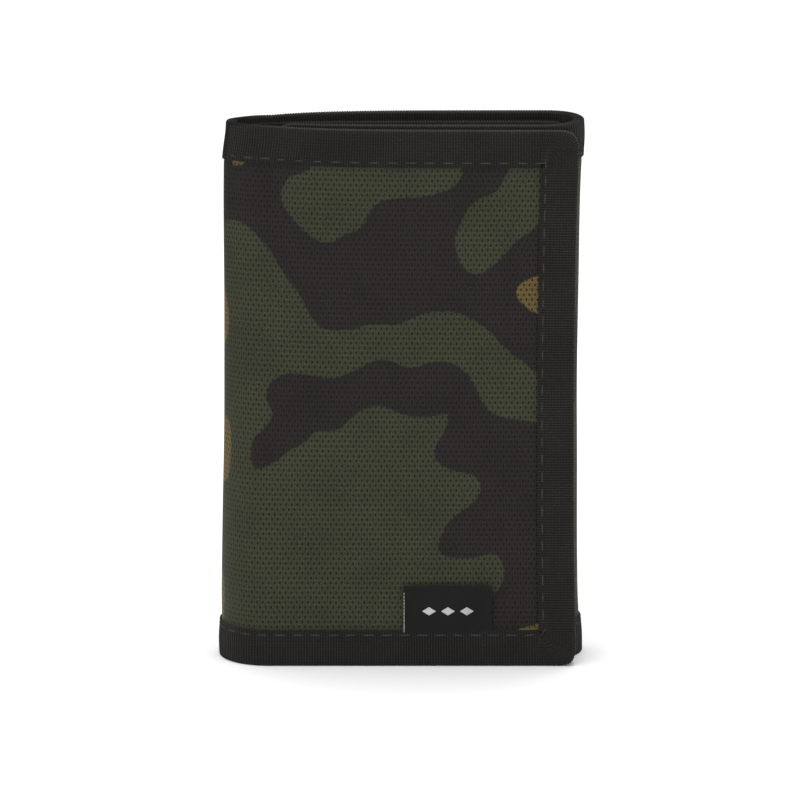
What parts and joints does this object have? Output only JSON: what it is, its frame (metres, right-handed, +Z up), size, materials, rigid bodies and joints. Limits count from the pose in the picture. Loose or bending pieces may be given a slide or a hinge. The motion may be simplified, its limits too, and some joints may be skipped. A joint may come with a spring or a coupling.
{
  "type": "trifold wallet",
  "caption": "Trifold fabric wallet with an all-over print, taped edges, note compartment, card pockets, photo window, zip coin pocket and hook-and-loop closure; the front flap opens on its fold",
  "frame": {"origin": "centre of the footprint, on the plane the wallet stands on", "axes": "+Z up along the height, +X across the wallet to its right-hand edge as seen from the front, the front flap faces -Y"},
  "size_m": [0.084, 0.0232, 0.1265],
  "materials": {
    "printed_canvas": "woven polyester canvas, camouflage print in olive, near-black and ochre",
    "binding_tape": "black ribbed binding tape",
    "lining": "thin plain-weave lining",
    "inner_fabric": "black woven nylon",
    "board": "stiffening board inside the panels",
    "clear_vinyl": "clear vinyl",
    "hook": "hook side of a hook-and-loop closure",
    "loop": "loop side of a hook-and-loop closure",
    "label": "black woven satin",
    "zip_metal": "nickel-plated"
  },
  "bodies": {
    "back_panel": {"back_canvas": "printed_canvas", "back_board": "board", "back_lining": "lining", "back_wall": "inner_fabric", "back_top_tape": "binding_tape", "back_wall_tape": "binding_tape", "back_bottom_tape": "binding_tape", "card_pocket_1": "inner_fabric", "card_pocket_2": "inner_fabric", "card_pocket_3": "inner_fabric"},
    "left_spine": {"left_fold_canvas": "printed_canvas", "left_fold_lining": "lining", "left_fold_wall": "inner_fabric", "left_fold_top_tape": "binding_tape", "left_fold_wall_tape": "binding_tape", "left_fold_bottom_tape": "binding_tape"},
    "front_flap": {"front_canvas": "printed_canvas", "front_board": "board", "front_lining": "lining", "front_wall": "inner_fabric", "front_top_tape": "binding_tape", "front_wall_tape": "binding_tape", "front_edge_tape": "binding_tape", "window_frame": "binding_tape", "window_pane": "clear_vinyl", "hook_strip": "hook", "label_tab": "label"},
    "right_spine": {"right_fold_canvas": "printed_canvas", "right_fold_lining": "lining", "right_fold_wall": "inner_fabric", "right_fold_top_tape": "binding_tape", "right_fold_wall_tape": "binding_tape", "right_fold_bottom_tape": "binding_tape"},
    "inner_panel": {"inner_canvas": "printed_canvas", "inner_board": "board", "inner_lining": "lining", "inner_wall": "inner_fabric", "inner_top_tape": "binding_tape", "inner_wall_tape": "binding_tape", "inner_edge_tape": "binding_tape", "loop_strip": "loop", "coin_pocket": "inner_fabric", "coin_strip": "inner_fabric", "zip_tapes": "binding_tape", "zip_teeth": "zip_metal", "zip_stops": "zip_metal"},
    "slider": {"zip_slider": "zip_metal"},
    "puller": {"zip_puller": "zip_metal"}
  },
  "joints": [
    {"name": "left_fold_back", "type": "hinge", "parent": "back_panel", "child": "left_spine", "pos_m": [-0.03884, 0.00842, 0], "axis": [0, 0, -1], "range_deg": [0, 90]},
    {"name": "left_fold_front", "type": "hinge", "parent": "left_spine", "child": "front_flap", "pos_m": [-0.03884, -0.00842, 0], "axis": [0, 0, -1], "range_deg": [0, 90]},
    {"name": "right_fold_back", "type": "hinge", "parent": "back_panel", "child": "right_spine", "pos_m": [0.03944, 0.00902, 0], "axis": [0, 0, 1], "range_deg": [0, 18]},
    {"name": "right_fold_inner", "type": "hinge", "parent": "right_spine", "child": "inner_panel", "pos_m": [0.03944, -0.00347, 0], "axis": [0, 0, 1], "range_deg": [0, 18]},
    {"name": "zip_slide", "type": "slide", "parent": "inner_panel", "child": "slider", "axis": [-1, 0, 0], "range_m": [0, 0.038]},
    {"name": "puller_swing", "type": "hinge", "parent": "slider", "child": "puller", "pos_m": [0.0255, 0.00082, 0.0875], "axis": [0, 1, 0], "range_deg": [-45, 45]}
  ],
  "couplings": [
    {"joint": "left_fold_front", "follows": "left_fold_back", "ratio": 1},
    {"joint": "right_fold_back", "follows": "left_fold_back", "ratio": 0.2},
    {"joint": "right_fold_inner", "follows": "left_fold_back", "ratio": 0.2}
  ]
}
